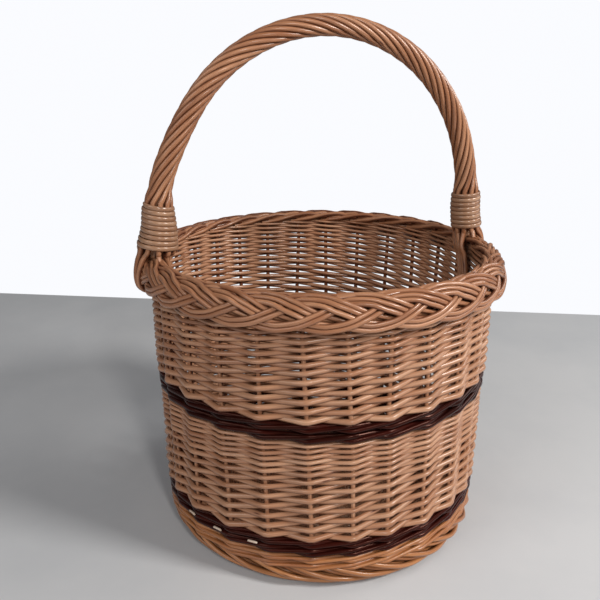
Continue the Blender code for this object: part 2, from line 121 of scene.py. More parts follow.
# Handle
HANDLE_HALF_WIDTH = 0.143
SPRING_LEVEL = 0.2870
HANDLE_SPRING = 0.041
HANDLE_RISE = 0.1557
HANDLE_LEAN = 0.0036
HANDLE_NARROWING = 0.0014
HANDLE_STRAIGHT_TO = 0.300
RIGHT_FOOT_IN = 0.0009
TOP_THINNER = 0.09
STRANDS = 10
STRAND_HALF = 0.00236
STRAND_RADIUS = 0.00775
STRAND_LAP_RADIUS = 0.0097
TWIST_STEPS = 33
LAP_BOTTOM = 0.2621
LAP_PITCH = 0.0041
LAP_STEPS = 36
LAP_TURNS = {-1: 9, 1: 8}
LAP_FLARE = {-1: 0.0046, 1: 0.0010}
LAP_TILT = {-1: -0.0016, 1: 0.0005}
STRAP_LEAN = 0.36
STRAP_LANES = (0.0023, 0.0069)
STRAP_RIGHT_IN = 0.0016
SKEIN_HALF_WIDTH = 0.00195
SKEIN_THICKNESS = 0.0016
SWELL = 0.012

# Cut butts in the lower dark band: the place of each, counted in stakes, and its height
CUT_BUTTS = ((-5.33, 0.0398), (-4.32, 0.0402), (-3.26, 0.0405))

# Floor, with its far edge at a slant behind the basket
FLOOR_SIZE = 6.0
WALL_DISTANCE = 0.567
WALL_TURN = math.radians(67.22)

# Lamps
LAMP_AIM = Vector((0, 0, 0.15))

# Camera
CAMERA_DISTANCE = 0.6305
CAMERA_HEIGHT = 0.4189
CAMERA_AZIMUTH = math.radians(-17.95)
CAMERA_YAW = -0.0301
CAMERA_PITCH = 0.3294
CAMERA_ROLL = -0.0011
FOCAL_SHARE = 716.05 / 600


def place(radius, turn, height):
    """Points at a distance from the axis, a turn from the front, and a height."""
    radius, turn, height = np.broadcast_arrays(radius, turn, height)
    return np.stack([radius * np.sin(turn), -radius * np.cos(turn), height], axis=-1)


def eased(at, keys, values, blur):
    """Values read between keys, with their corners rounded over the blur."""
    shifts = np.linspace(-1, 1, 9)
    weights = np.cos(shifts * math.pi / 2.4)
    total = sum(w * np.interp(at + blur * s, keys, values) for s, w in zip(shifts, weights))
    return total / weights.sum()


def stake_radius(z):
    """Distance of a stake's middle from the axis at a height."""
    fuller = WALL_FULLNESS * np.cos(np.clip((z - 0.185) / 0.11, -1, 1) * math.pi / 2) ** 2
    return WALL_RADIUS_FOOT + (WALL_RADIUS_TOP - WALL_RADIUS_FOOT) * z / WALL_TOP + fuller


# Lean of each stake along the wall at four levels, in bays, as on the real basket where it can be seen
chance = random.Random(28)
LEAN_LEVELS = (0.055, 0.130, 0.160, 0.225)
LEAN = np.array([[0.10], [0.05], [0.03], [0.0]]) + np.array(
    [[chance.uniform(-0.05, 0.05) for _ in range(STAKES)] for _ in LEAN_LEVELS])
SEEN_LEAN = {
    -6: (-0.20, -0.18, -0.16, -0.11), -5: (-0.19, -0.14, -0.10, -0.10), -4: (0.03, -0.06, -0.04, -0.07),
    -3: (0.12, 0.05, 0.00, -0.02), -2: (0.22, 0.14, 0.10, 0.01), -1: (0.26, 0.19, 0.11, 0.00),
    0: (0.17, 0.10, 0.03, 0.01), 1: (0.25, 0.20, 0.08, 0.01), 2: (0.33, 0.25, 0.19, 0.13),
    3: (0.28, 0.20, 0.16, 0.10),
}
for stake, leans in SEEN_LEAN.items():
    LEAN[:, stake] = leans
REAR_LEAN = {7: 0.25, 8: 0.22, 9: 0.17, 10: 0.16, 11: 0.14, 12: 0.20, 13: 0.15, 14: 0.22, 15: 0.21, 16: 0.05}
REAR_LEAN_SHARES = np.array([0.6, 1.0, 1.0])
for stake, lean in REAR_LEAN.items():
    LEAN[1:, stake] += REAR_LEAN_SHARES * lean


def wall_turn(position, z):
    """Turn from the front of a place counted in stakes, with the small lean of each stake."""
    position, z = np.broadcast_arrays(np.asarray(position, float), np.asarray(z, float))
    rows = [np.interp(position % STAKES, range(STAKES + 1), np.append(row, row[0])) for row in LEAN]
    lean = rows[0]
    for i in range(len(rows) - 1):
        share = np.clip((z - LEAN_LEVELS[i]) / (LEAN_LEVELS[i + 1] - LEAN_LEVELS[i]), 0, 1)
        lean = lean + (rows[i + 1] - rows[i]) * share
    return STAKE_PHASE + BAY * (position + lean)


def kinked(corners, at, blur):
    """A route that runs straight from corner to corner, each corner eased over the blur."""
    keys = np.arange(len(corners))
    return np.stack([eased(at, keys, corners[:, axis], blur) for axis in range(3)], axis=-1)


def only(obj):
    """Select one object alone and make it active."""
    bpy.ops.object.select_all(action="DESELECT")
    obj.select_set(True)
    bpy.context.view_layer.objects.active = obj


def settle(obj, material, nodes):
    """Give a finished piece its material, its body and the nodes that it stands for."""
    obj.data.materials.clear()
    obj.data.materials.append(material)
    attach(obj, "root")
    if nodes:
        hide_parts(*nodes)
    return obj


def lay_rods(name, rods, material, nodes, roundness=2, open_to=None, shaded_from=-0.25):
    """Rods laid along their routes as one bevelled curve that is then made a mesh.

    A rod is its points, its half thickness at each point and whether it closes on itself.
    Painted shade darkens the skin on the sides that turn away from where each rod lies open, upwards if not
    given: the undersides and the creases between rods."""
    own = random.Random(name)
    curve = bpy.data.curves.new(name, "CURVE")
    curve.dimensions = "3D"
    curve.twist_mode = "MINIMUM"
    curve.bevel_depth = MM
    curve.bevel_resolution = roundness
    curve.use_fill_caps = True
    for points, radii, closed in rods:
        spline = curve.splines.new("POLY")
        spline.points.add(len(points) - 1)
        spline.points.foreach_set("co", np.c_[points, np.ones(len(points))].ravel())
        spline.points.foreach_set("radius", np.asarray(radii) / MM)
        spline.use_cyclic_u = closed
        spline.use_smooth = True
    obj = bpy.data.objects.new(name, curve)
    bpy.context.scene.collection.objects.link(obj)
    only(obj)
    bpy.ops.object.convert(target="MESH")
    mesh = obj.data
    sides = 2 * (roundness + 2)
    grain = np.zeros((len(mesh.vertices), 3))
    tone_and_shade = np.zeros((len(mesh.vertices), 4))
    skin = np.zeros(3 * len(mesh.vertices))
    mesh.vertices.foreach_get("co", skin)
    skin = skin.reshape(-1, 3)
    around = TAU * np.arange(sides) / sides
    # the end caps of all open rods lie first in the mesh, the last rod's before the others'
    cap = 2 * sides * sum(1 for rod in rods if not rod[2])
    body = cap
    for rod_number, (points, radii, closed) in enumerate(rods):
        count = len(points)
        steps = np.linalg.norm(np.diff(points, axis=0), axis=1)
        along = own.uniform(0, 40) + np.append(0, np.cumsum(steps))
        half = np.asarray(radii)[:, None]
        turn = around + own.uniform(0, TAU)
        rings = np.stack([
            np.repeat(along, sides).reshape(count, sides),
            half * np.cos(turn),
            half * np.sin(turn),
        ], axis=-1).reshape(-1, 3)
        end = body + len(rings)
        offset = skin[body:end].reshape(count, sides, 3) - np.asarray(points)[:, None, :]
        reach = np.linalg.norm(offset, axis=2)
        if np.abs(reach / half - 1).max() > 0.02:
            raise RuntimeError(f"{name}: rod {rod_number} isn't where its points were looked for")
        offset /= reach[:, :, None]
        side = offset[:, :, 2] if open_to is None else (offset * open_to[rod_number][:, None, :]).sum(axis=2)
        grain[body:end] = rings
        tone_and_shade[body:end, 0] = own.random()
        tone_and_shade[body:end, 1] = own.random()
        # third channel: painted shade, which grows as the side turns away from where the rod lies open
        tone_and_shade[body:end, 2] = np.clip((shaded_from - side) / 0.5, 0, 1).ravel()
        tone_and_shade[body:end, 3] = 1
        if not closed:
            cap -= 2 * sides
            grain[cap:cap + sides] = grain[end - sides:end]
            tone_and_shade[cap:cap + sides] = tone_and_shade[end - sides:end]
            grain[cap + sides:cap + 2 * sides] = grain[body:body + sides]
            tone_and_shade[cap + sides:cap + 2 * sides] = tone_and_shade[body:body + sides]
        body = end
    if body != len(mesh.vertices):
        raise RuntimeError(f"{name}: {body} points counted, {len(mesh.vertices)} in the mesh")
    write_surface(mesh, grain, tone_and_shade)
    bpy.ops.object.mode_set(mode="EDIT")
    bpy.ops.mesh.select_all(action="SELECT")
    bpy.ops.mesh.remove_doubles(threshold=1e-7)
    bpy.ops.object.mode_set(mode="OBJECT")
    bpy.ops.object.shade_smooth_by_angle(angle=math.radians(60))
    return settle(obj, material, nodes)


def write_surface(mesh, grain, tone_and_shade):
    """Store each point's place along and round its rod, its rod's own tones, and the painted shade of its
    undersides and creases.
    """
    layer = mesh.attributes.new("grain", "FLOAT_VECTOR", "POINT")
    layer.data.foreach_set("vector", grain.ravel())
    layer = mesh.attributes.new("tone_and_shade", "FLOAT_COLOR", "POINT")
    layer.data.foreach_set("color", tone_and_shade.ravel())


# Shader parts shared by all the willow finishes


def new_group(name, inputs, outputs):
    group = bpy.data.node_groups.new(name, "ShaderNodeTree")
    for label, kind, value in inputs:
        socket = group.interface.new_socket(name=label, in_out="INPUT", socket_type=kind)
        if value is not None:
            socket.default_value = value
    for label, kind in outputs:
        group.interface.new_socket(name=label, in_out="OUTPUT", socket_type=kind)
    return group, group.nodes.new("NodeGroupInput"), group.nodes.new("NodeGroupOutput")


def node(tree, kind, **settings):
    made = tree.nodes.new(kind)
    for key, value in settings.items():
        setattr(made, key, value)
    return made


def math_node(tree, operation, first, second=None, third=None, clamp=False):
    made = node(tree, "ShaderNodeMath", operation=operation, use_clamp=clamp)
    for socket, value in zip(made.inputs, (first, second, third)):
        if value is None:
            continue
        if isinstance(value, (int, float)):
            socket.default_value = value
        else:
            tree.links.new(value, socket)
    return made.outputs[0]


def scaled(tree, vector, scale):
    made = node(tree, "ShaderNodeVectorMath", operation="MULTIPLY")
    tree.links.new(vector, made.inputs[0])
    made.inputs[1].default_value = scale
    return made.outputs[0]


def noise(tree, vector, detail=3.0, roughness=0.55, scale=1.0):
    made = node(tree, "ShaderNodeTexNoise")
    made.inputs["Scale"].default_value = scale
    made.inputs["Detail"].default_value = detail
    made.inputs["Roughness"].default_value = roughness
    tree.links.new(vector, made.inputs["Vector"])
    return made.outputs["Fac"]


def ranged(tree, value, low, high, out_low=0.0, out_high=1.0):
    made = node(tree, "ShaderNodeMapRange")
    made.clamp = True
    tree.links.new(value, made.inputs["Value"])
    made.inputs["From Min"].default_value = low
    made.inputs["From Max"].default_value = high
    made.inputs["To Min"].default_value = out_low
    made.inputs["To Max"].default_value = out_high
    return made.outputs["Result"]


def mixed(tree, factor, first, second):
    made = node(tree, "ShaderNodeMix", data_type="RGBA")
    sockets = (made.inputs["Factor"], made.inputs[6], made.inputs[7])
    for socket, value in zip(sockets, (factor, first, second)):
        if isinstance(value, (tuple, float, int)):
            socket.default_value = value
        else:
            tree.links.new(value, socket)
    return made.outputs[2]


def make_willow_group():
    """Skin of a willow rod: long fibres, slow shifts of colour, knots and dull scuffs, and painted shade on
    the undersides and in the creases.
    """
    group, given, out = new_group(
        "willow_skin",
        [
            ("Grain", "NodeSocketVector", None),
            ("Tone and shade", "NodeSocketColor", None),
            ("Light", "NodeSocketColor", (0.6, 0.4, 0.25, 1)),
            ("Middle", "NodeSocketColor", (0.5, 0.3, 0.18, 1)),
            ("Deep", "NodeSocketColor", (0.3, 0.15, 0.08, 1)),
            ("Knot and shade", "NodeSocketColor", (0.12, 0.05, 0.03, 1)),
            ("Knots", "NodeSocketFloat", 1.0),
        ],
        [
            ("Colour", "NodeSocketColor"),
            ("Roughness", "NodeSocketFloat"),
            ("Height", "NodeSocketFloat"),
            ("Open", "NodeSocketFloat"),
        ],
    )
    links = group.links
    grain = given.outputs["Grain"]
    split = node(group, "ShaderNodeSeparateColor")
    links.new(given.outputs["Tone and shade"], split.inputs[0])
    fibre = noise(group, scaled(group, grain, (55, 1500, 1500)), 4.0, 0.6)
    strand = noise(group, scaled(group, grain, (12, 420, 420)), 2.0, 0.5)
    patch = noise(group, scaled(group, grain, (9, 60, 60)), 3.0, 0.6)
    rod_tone = ranged(group, split.outputs[0], 0.0, 1.0, -0.28, 0.28)
    shade = math_node(group, "ADD", ranged(group, patch, 0.3, 0.7), rod_tone)
    shade = math_node(group, "ADD", shade, ranged(group, strand, 0.3, 0.7, -0.22, 0.22), clamp=True)
    base = mixed(group, shade, given.outputs["Middle"], given.outputs["Light"])
    dark_share = ranged(group, fibre, 0.40, 0.62, 0.32, 0.0)
    base = mixed(group, dark_share, base, given.outputs["Deep"])
    deep_rod = ranged(group, split.outputs[1], 0.72, 1.0, 0.0, 0.42)
    base = mixed(group, deep_rod, base, given.outputs["Deep"])
    cells = node(group, "ShaderNodeTexVoronoi")
    cells.inputs["Scale"].default_value = 1.0
    links.new(scaled(group, grain, (30, 190, 190)), cells.inputs["Vector"])
    knot = ranged(group, cells.outputs["Distance"], 0.055, 0.13, 1.0, 0.0)
    ring = ranged(group, cells.outputs["Distance"], 0.10, 0.24, 1.0, 0.0)
    knot = math_node(group, "MULTIPLY", knot, given.outputs["Knots"])
    ring = math_node(group, "MULTIPLY", ring, given.outputs["Knots"])
    base = mixed(group, math_node(group, "MULTIPLY", ring, 0.35), base, given.outputs["Deep"])
    base = mixed(group, math_node(group, "MULTIPLY", knot, 0.85), base, given.outputs["Knot and shade"])
    # painted shade: undersides and creases darken towards the knot colour
    base = mixed(group, math_node(group, "MULTIPLY", split.outputs[2], 0.8), base, given.outputs["Knot and shade"])
    links.new(base, out.inputs["Colour"])
    # Open is one less the painted shade, so the coat is thinned where shade is painted
    links.new(math_node(group, "SUBTRACT", 1.0, split.outputs[2]), out.inputs["Open"])
    rough = ranged(group, patch, 0.25, 0.75, 0.34, 0.50)
    rough = math_node(group, "ADD", rough, ranged(group, fibre, 0.3, 0.7, -0.04, 0.06))
    rough = math_node(group, "ADD", rough, math_node(group, "MULTIPLY", knot, 0.2))
    links.new(rough, out.inputs["Roughness"])
    height = math_node(group, "ADD", fibre, math_node(group, "MULTIPLY", strand, 1.4))
    height = math_node(group, "ADD", height, math_node(group, "MULTIPLY", ring, 0.9))
    links.new(height, out.inputs["Height"])
    return group


def srgb(red, green, blue):
    """A colour as it reads on screen, from 0 to 255, in the shader's linear values."""
    values = []
    for channel in (red, green, blue):
        share = channel / 255
        values.append(share / 12.92 if share <= 0.04045 else ((share + 0.055) / 1.055) ** 2.4)
    return (*values, 1.0)


def willow(name, skin, light, middle, deep, knot, knots=1.0, bump=0.13, specular=0.45, coat=0.5, dull=0.8,
           tint=(1.0, 0.86, 0.76, 1.0)):
    """One willow finish on the shared skin; its knot colour also paints the shade on undersides and in
    creases.
    """
    material = bpy.data.materials.new(name)
    material.use_nodes = True
    tree = material.node_tree
    shader = tree.nodes["Principled BSDF"]
    shader.inputs["Specular IOR Level"].default_value = specular
    shader.inputs["Coat Roughness"].default_value = 0.22
    grain = node(tree, "ShaderNodeAttribute", attribute_name="grain")
    tone_and_shade = node(tree, "ShaderNodeAttribute", attribute_name="tone_and_shade")
    body = node(tree, "ShaderNodeGroup", node_tree=skin)
    given = {"Light": light, "Middle": middle, "Deep": deep, "Knot and shade": knot, "Knots": knots}
    for label, value in given.items():
        body.inputs[label].default_value = value
    tree.links.new(grain.outputs["Vector"], body.inputs["Grain"])
    tree.links.new(tone_and_shade.outputs["Color"], body.inputs["Tone and shade"])
    tree.links.new(body.outputs["Colour"], shader.inputs["Base Color"])
    tree.links.new(math_node(tree, "MULTIPLY", body.outputs["Roughness"], dull), shader.inputs["Roughness"])
    if coat:
        # the coat is thinned where shade is painted
        tree.links.new(math_node(tree, "MULTIPLY", body.outputs["Open"], coat), shader.inputs["Coat Weight"])
    shader.inputs["Specular Tint"].default_value = tint
    relief = node(tree, "ShaderNodeBump")
    relief.inputs["Strength"].default_value = bump
    relief.inputs["Distance"].default_value = 0.0004
    tree.links.new(body.outputs["Height"], relief.inputs["Height"])
    tree.links.new(relief.outputs["Normal"], shader.inputs["Normal"])
    return material


SKIN = make_willow_group()
# The fourth colour of each finish colours the knots and also the painted shade on undersides and in creases.
BUFF = willow(
    "buff_willow", SKIN,
    srgb(208, 160, 126), srgb(182, 128, 94), srgb(126, 71, 43), srgb(78, 21, 4),
)
HONEY = willow(
    "honey_willow", SKIN,
    srgb(202, 147, 110), srgb(168, 111, 76), srgb(112, 60, 36), srgb(68, 19, 5),
)
FOOT = willow(
    "foot_willow", SKIN,
    srgb(200, 136, 84), srgb(172, 106, 62), srgb(116, 64, 34), srgb(60, 28, 14),
)
DARK = willow(
    "dark_willow", SKIN,
    srgb(62, 18, 12), srgb(32, 9, 6), srgb(10, 3, 2), srgb(4, 1, 1), 0.4, 0.2, 0.28, 0.0, 0.5,
    (1.0, 0.5, 0.38, 1.0),
)
SKEIN = willow(
    "pale_skein", SKIN,
    srgb(190, 148, 116), srgb(160, 116, 88), srgb(112, 74, 52), srgb(78, 48, 34), 0.5, 0.2, 0.6, 0.6, 0.7,
)
CUT_WOOD = willow(
    "cut_wood", SKIN,
    srgb(240, 222, 204), srgb(226, 202, 180), srgb(190, 160, 138), srgb(150, 120, 100), 0.0, 0.2,
)


def base_level(radius):
    """Height of the middle of the crowned base."""
    share = np.minimum(radius / BASE_EDGE, 1.0)
    return BASE_LIFT + BASE_CROWN * (1 - share * share)


def make_stakes():
    """Upright stakes, each out along the base, round its bend and up the wall."""
    for i in range(STAKES):
        inner = BASE_EDGE - 0.032
        radius = [inner, inner + 0.02, 0.1310, 0.1355, 0.1390, 0.14235]
        level = [base_level(inner), base_level(inner + 0.02), 0.0087, 0.0095, 0.0122, 0.0168]
        radius = eased(np.linspace(0, 5, 16), range(6), radius, 0.4)
        level = eased(np.linspace(0, 5, 16), range(6), level, 0.4)
        climb = np.linspace(0.022, 0.2535, 26)
        radius = np.append(radius, stake_radius(climb) + STAKE_OUT * np.clip((climb - 0.022) / 0.01, 0, 1))
        level = np.append(level, climb)
        points = place(radius, wall_turn(i, level), level)
        half = STAKE_HALF + (STAKE_TIP_HALF - STAKE_HALF) * np.clip(level / WALL_TOP, 0, 1)
        outwards = place(1.0, wall_turn(i, level), 0.0)
        lay_rods(f"stake_rod_{i + 1:02d}", [(points, half, False)], BUFF,
                 [f"stake_{i + 1:02d}"], 2, [outwards], 0.6)


def make_randing(name, rows, node_name, seed):
    """A band of weave with one rod to a stake, each outside one stake and inside the next."""
    own = random.Random(seed)
    levels = np.array(rows) * MM
    bays = 2 * (len(rows) - 1)
    at = (np.arange(bays + 3)[:, None] + np.array([-0.4, -0.16, -0.05, 0.05, 0.16, 0.4])).ravel()
    at = at[3:-3]
    rods = []
    for k in range(STAKES):
        walked = np.arange(-1.0, bays + 2)
        height = np.interp(walked / 2, np.arange(len(rows)), levels)
        share = np.clip(walked / bays, 0, 1)
        thick = (WEAVE_BUTT_HALF + (WEAVE_TIP_HALF - WEAVE_BUTT_HALF) * share) * own.uniform(0.95, 1.05)
        out = (STAKE_HALF + thick) * np.where(walked % 2 == 0, WEAVE_OUTSIDE, WEAVE_INSIDE) + STAKE_OUT
        turn = wall_turn(k + walked, height)
        ripple = WEAVE_RIPPLE * np.sin(2.3 * turn + seed) * np.sin(70 * height + 5 * turn)
        height = height + own.uniform(-0.00015, 0.00015) + ripple - WEAVE_SINK
        corners = place(stake_radius(height) + out, turn, height)
        points = kinked(corners, at, 0.04)
        half = np.interp(at, np.arange(len(thick)), thick)
        half = half * (1 - WEAVE_REAR_THINNER * np.clip(-np.cos(BAY * (k + at) + 0.3), 0, 1))
        rods.append((points, half, False))
    return lay_rods(name, rods, BUFF, [node_name])


def make_wale(name, levels, material, node_name, join):
    """A band of three-rod waling: each rod outside two stakes and inside one, round by round."""
    own = random.Random(name)
    low, high = levels
    pitch = (high - low) / (2 * WALE_ROUNDS)
    thick = pitch / 2
    total = WALE_ROUNDS * STAKES
    rods = []
    for m in range(3):
        walked = np.arange(m - 2.0, total + m + 2.0)
        phase = ((walked - m) % 3).astype(int)
        height_in_stroke = np.array([0.5, 0.0, 1.0])[phase]
        stage = np.zeros(len(walked))
        for q in range(1, WALE_ROUNDS):
            stage += np.clip((walked - q * STAKES) / 3 + 0.5, 0, 1)
        height = low + pitch * (0.5 + height_in_stroke + 2 * stage)
        swing = (STAKE_HALF + thick) * np.array([WALE_INSIDE, WALE_OUTSIDE, WALE_OUTSIDE])[phase]
        corners = place(stake_radius(height) + swing, wall_turn(walked + join, height), height)
        at = (np.arange(len(walked) - 1)[:, None] + np.array([0.05, 0.2, 0.4, 0.6, 0.8, 0.95])).ravel()[3:-3]
        points = kinked(corners, at, 0.07)
        edge = np.minimum(at - at[0], at[-1] - at)
        inside = eased(at, np.arange(len(phase)), np.where(phase == 0, 1.3, 1.0), 0.1)
        half = thick * inside * (0.5 + 0.5 * np.clip(edge / WALE_TAPER_BAYS, 0, 1)) * own.uniform(0.97, 1.03)
        rods.append((points, half, False))
    return lay_rods(name, rods, material, [node_name])


def make_foot_border():
    """The rolled foot: rods from under the wale down and in beneath, in layers, and rings behind them."""
    keys = [-0.6, 0.0, 0.4, 0.9, 1.4, 1.9, 2.5, 3.0]
    level = np.array([23.0, 20.3, 16.8, 11.3, 7.4, 4.6, 3.0, 3.2]) * MM
    radius = np.array([141.5, 143.6, 145.0, 144.3, 140.6, 137.4, 134.6, 132.5]) * MM
    own = random.Random(11)
    rods = []
    outwards = []
    for k in range(STAKES):
        for behind in (0, 1, 2):
            walked = np.arange(keys[0], keys[-1] + 0.01, 1 / 8)
            z = eased(walked, keys, level, 0.2)
            inset = FOOT_LAYER_INSETS[behind] * np.clip((3 if behind == 2 else 2) - walked, 0, 1)
            r = eased(walked, keys, radius, 0.2) - inset
            half = (FOOT_ROD_HALF - FOOT_LAYER_THINNER * behind) * own.uniform(0.94, 1.06)
            half = half * np.ones(len(walked))
            z = np.maximum(z, half)
            start = k - 0.35 + own.uniform(-0.06, 0.06) + FOOT_LAYER_STEPS[behind]
            turn = STAKE_PHASE + BAY * (start + walked)
            points = place(r, turn, z) + FOOT_SHIFT * np.clip((0.020 - z) / 0.012, 0, 1)[:, None]
            rods.append((points, half, False))
            outwards.append(place(0.8, turn, 0.0) + np.array([0, 0, 0.25]))
    for ring, (r, z) in enumerate(FOOT_RINGS):
        turn = TAU * np.arange(8 * STAKES) / (8 * STAKES)
        wave = np.cos(STAKES / 2 * turn + 2.1 * ring)
        points = place(r + 0.0004 * wave, turn, z + 0.0005 * wave)
        rods.append((points, np.full(len(turn), FOOT_RING_HALF), True))
        outwards.append(place(0.8, turn, 0.0))
    return lay_rods("rolled_foot", rods, FOOT, ["foot_border"], 2, outwards, 0.6)


def plait_surface(share, layer):
    """Distance and height of a place across the plait, lifted off its middle by the layer."""
    radius = eased(share, PLAIT_SHARES, PLAIT_RADII, 0.05)
    level = eased(share, PLAIT_SHARES, PLAIT_LEVELS, 0.05)
    ahead_r = eased(share + 0.02, PLAIT_SHARES, PLAIT_RADII, 0.05) - radius
    ahead_z = eased(share + 0.02, PLAIT_SHARES, PLAIT_LEVELS, 0.05) - level
    size = np.hypot(ahead_r, ahead_z)
    return radius - ahead_z / size * layer, level + ahead_r / size * layer


def make_plait():
    """Plaited border: from each stake three rods come over the rim, pass down under the next
    group, turn along the lower edge and come back up over the plait to end on its inner edge."""
    keys = [-0.5, -0.2, 0.14, 0.35, 0.57, 0.86, 1.13, 1.39, 1.65, 1.90, 2.15, 2.40, 2.75, 3.14,
            3.39, 3.64, 3.85, 4.10, 4.40, 4.75, 5.10, 5.60, 6.10, 6.60]
    across = [0.19, 0.24, 0.29, 0.31, 0.335, 0.425, 0.53, 0.645, 0.745, 0.82, 0.88, 0.93, 0.955, 0.88,
              0.79, 0.685, 0.58, 0.45, 0.30, 0.21, 0.15, 0.07, -0.02, -0.10]
    layer = [-2.0, -1.7, -0.6, 0.6, 1.5, 2.0, 2.0, 1.2, -0.8, -2.0, -2.0, -0.4, 1.5, 2.0,
             2.0, 1.6, 0.2, -1.8, -2.0, -0.6, 1.0, 1.0, -0.8, -4.5]
    spread = [1, 1, 1, 1, 1, 1, 1, 0.95, 0.8, 0.65, 0.5, 0.47, 0.46, 0.46,
              0.46, 0.46, 0.5, 0.6, 0.65, 0.6, 0.55, 0.5, 0.5, 0.5]
    sink = [0, 0, 0, 0, 0, 0, 0, 0, 0.4, 0.9, 1, 1, 1, 1,
            1, 1, 1, 0.8, 0.5, 0.4, 0.4, 0.4, 0.4, 0.4]
    own = random.Random(3)
    rods = []
    outwards = []
    for k in range(STAKES):
        for lane in (-1, 0, 1):
            shift = own.uniform(-0.03, 0.03)
            walked = np.arange(keys[0] + 0.05 * lane, keys[-1] - 0.1 * lane, 1 / 9)
            half = PLAIT_ROD_HALF * own.uniform(0.95, 1.06)
            a = eased(walked + shift, keys, across, 0.13)
            n = eased(walked + shift, keys, layer, 0.13) * MM
            w = eased(walked, keys, spread, 0.13)
            s = eased(walked, keys, sink, 0.13)
            turn = STAKE_PHASE + BAY * (k - 0.26 + walked)
            if lane == 0:
                n = n - s * PLAIT_MIDDLE_SINK
            r, z = plait_surface(a, n)
            rolled = np.clip(np.cos(turn - ROLL_TURN), 0, 1) ** 2 * np.clip(a, 0, 1)
            drop = REAR_DROP * (1 - np.cos(turn)) / 2 + ROLL_DROP * rolled
            middle = place(r + ROLL_OUT * rolled, turn, z - drop)
            along = np.gradient(middle, axis=0)
            along /= np.linalg.norm(along, axis=1)[:, None]
            r2, z2 = plait_surface(a, n + MM)
            lift = place(r2, turn, z2) - place(r, turn, z)
            lift /= np.linalg.norm(lift, axis=1)[:, None]
            side = np.cross(along, lift)
            width = (lane * w * PLAIT_ROD_SPACING)[:, None]
            points = middle + side * width
            rods.append((points, np.full(len(points), half), False))
            outwards.append(lift)
    return lay_rods("plaited_rim", rods, HONEY, ["plaited_border"], 2, outwards, 0.7)


def bow_x(z):
    """Distance of the handle's leg from the axis, below the spring of its arch."""
    share = np.clip((SPRING_LEVEL - z) / HANDLE_SPRING, 0.0, 1.0)
    ease = share * share * (3 - 2 * share)
    wall = HANDLE_HALF_WIDTH + (WALL_RADIUS_TOP - HANDLE_HALF_WIDTH) * ease
    return np.where(z <= WALL_TOP, stake_radius(z), wall)


class HandleLine:
    """The handle's middle line from lap to lap, read by the length walked along it."""

    def __init__(self):
        leg = np.linspace(LAP_BOTTOM, SPRING_LEVEL, 24, endpoint=False)
        turn = np.linspace(math.pi, 0, 241)
        x = np.concatenate([-bow_x(leg), HANDLE_HALF_WIDTH * np.cos(turn), bow_x(leg)[::-1]])
        z = np.concatenate([leg, SPRING_LEVEL + HANDLE_RISE * np.sin(turn), leg[::-1]])
        above = z - HANDLE_STRAIGHT_TO
        x = x - np.sign(x) * HANDLE_NARROWING * np.sin(math.pi * np.clip(above / 0.125, 0, 1)) ** 2
        x = x + HANDLE_LEAN * np.sin(math.pi / 2 * np.clip(above / 0.075, 0, 1)) ** 2
        x = x - RIGHT_FOOT_IN * np.clip(-above / 0.030, 0, 1) * (x > 0)
        self.x, self.z = x, z
        self.lengths = np.append(0, np.cumsum(np.hypot(np.diff(x), np.diff(z))))
        self.total = self.lengths[-1]

    def at(self, length):
        """Points and outward directions at lengths along the line."""
        x = np.interp(length, self.lengths, self.x)
        z = np.interp(length, self.lengths, self.z)
        behind, ahead = length - 0.0015, length + 0.0015
        ahead_x = np.interp(ahead, self.lengths, self.x) - np.interp(behind, self.lengths, self.x)
        ahead_z = np.interp(ahead, self.lengths, self.z) - np.interp(behind, self.lengths, self.z)
        size = np.hypot(ahead_x, ahead_z)
        return x, z, -ahead_z / size, ahead_x / size

    def nearest(self, points):
        """The places of the line, carried straight down below the laps, that lie nearest to points."""
        side = np.sign(points[:, 0])
        low = np.stack([side * bow_x(points[:, 2]), 0 * side, points[:, 2]], axis=-1)
        line = np.stack([self.x, 0 * self.x, self.z], axis=-1)
        near = np.linalg.norm(points[:, None, :] - line[None, :, :], axis=2).argmin(axis=1)
        return np.where((points[:, 2] > LAP_BOTTOM)[:, None], line[near], low)

    def length_at(self, z, side):
        """Length where the line passes a height on the left or the right leg."""
        half = len(self.z) // 2
        length = np.interp(z, self.z[:half], self.lengths[:half])
        return length if side < 0 else self.total - length


LINE = HandleLine()


def lap_top(side):
    """Height of the upper edge of a lapping."""
    return LAP_BOTTOM + LAP_TURNS[side] * LAP_PITCH + 2 * SKEIN_HALF_WIDTH


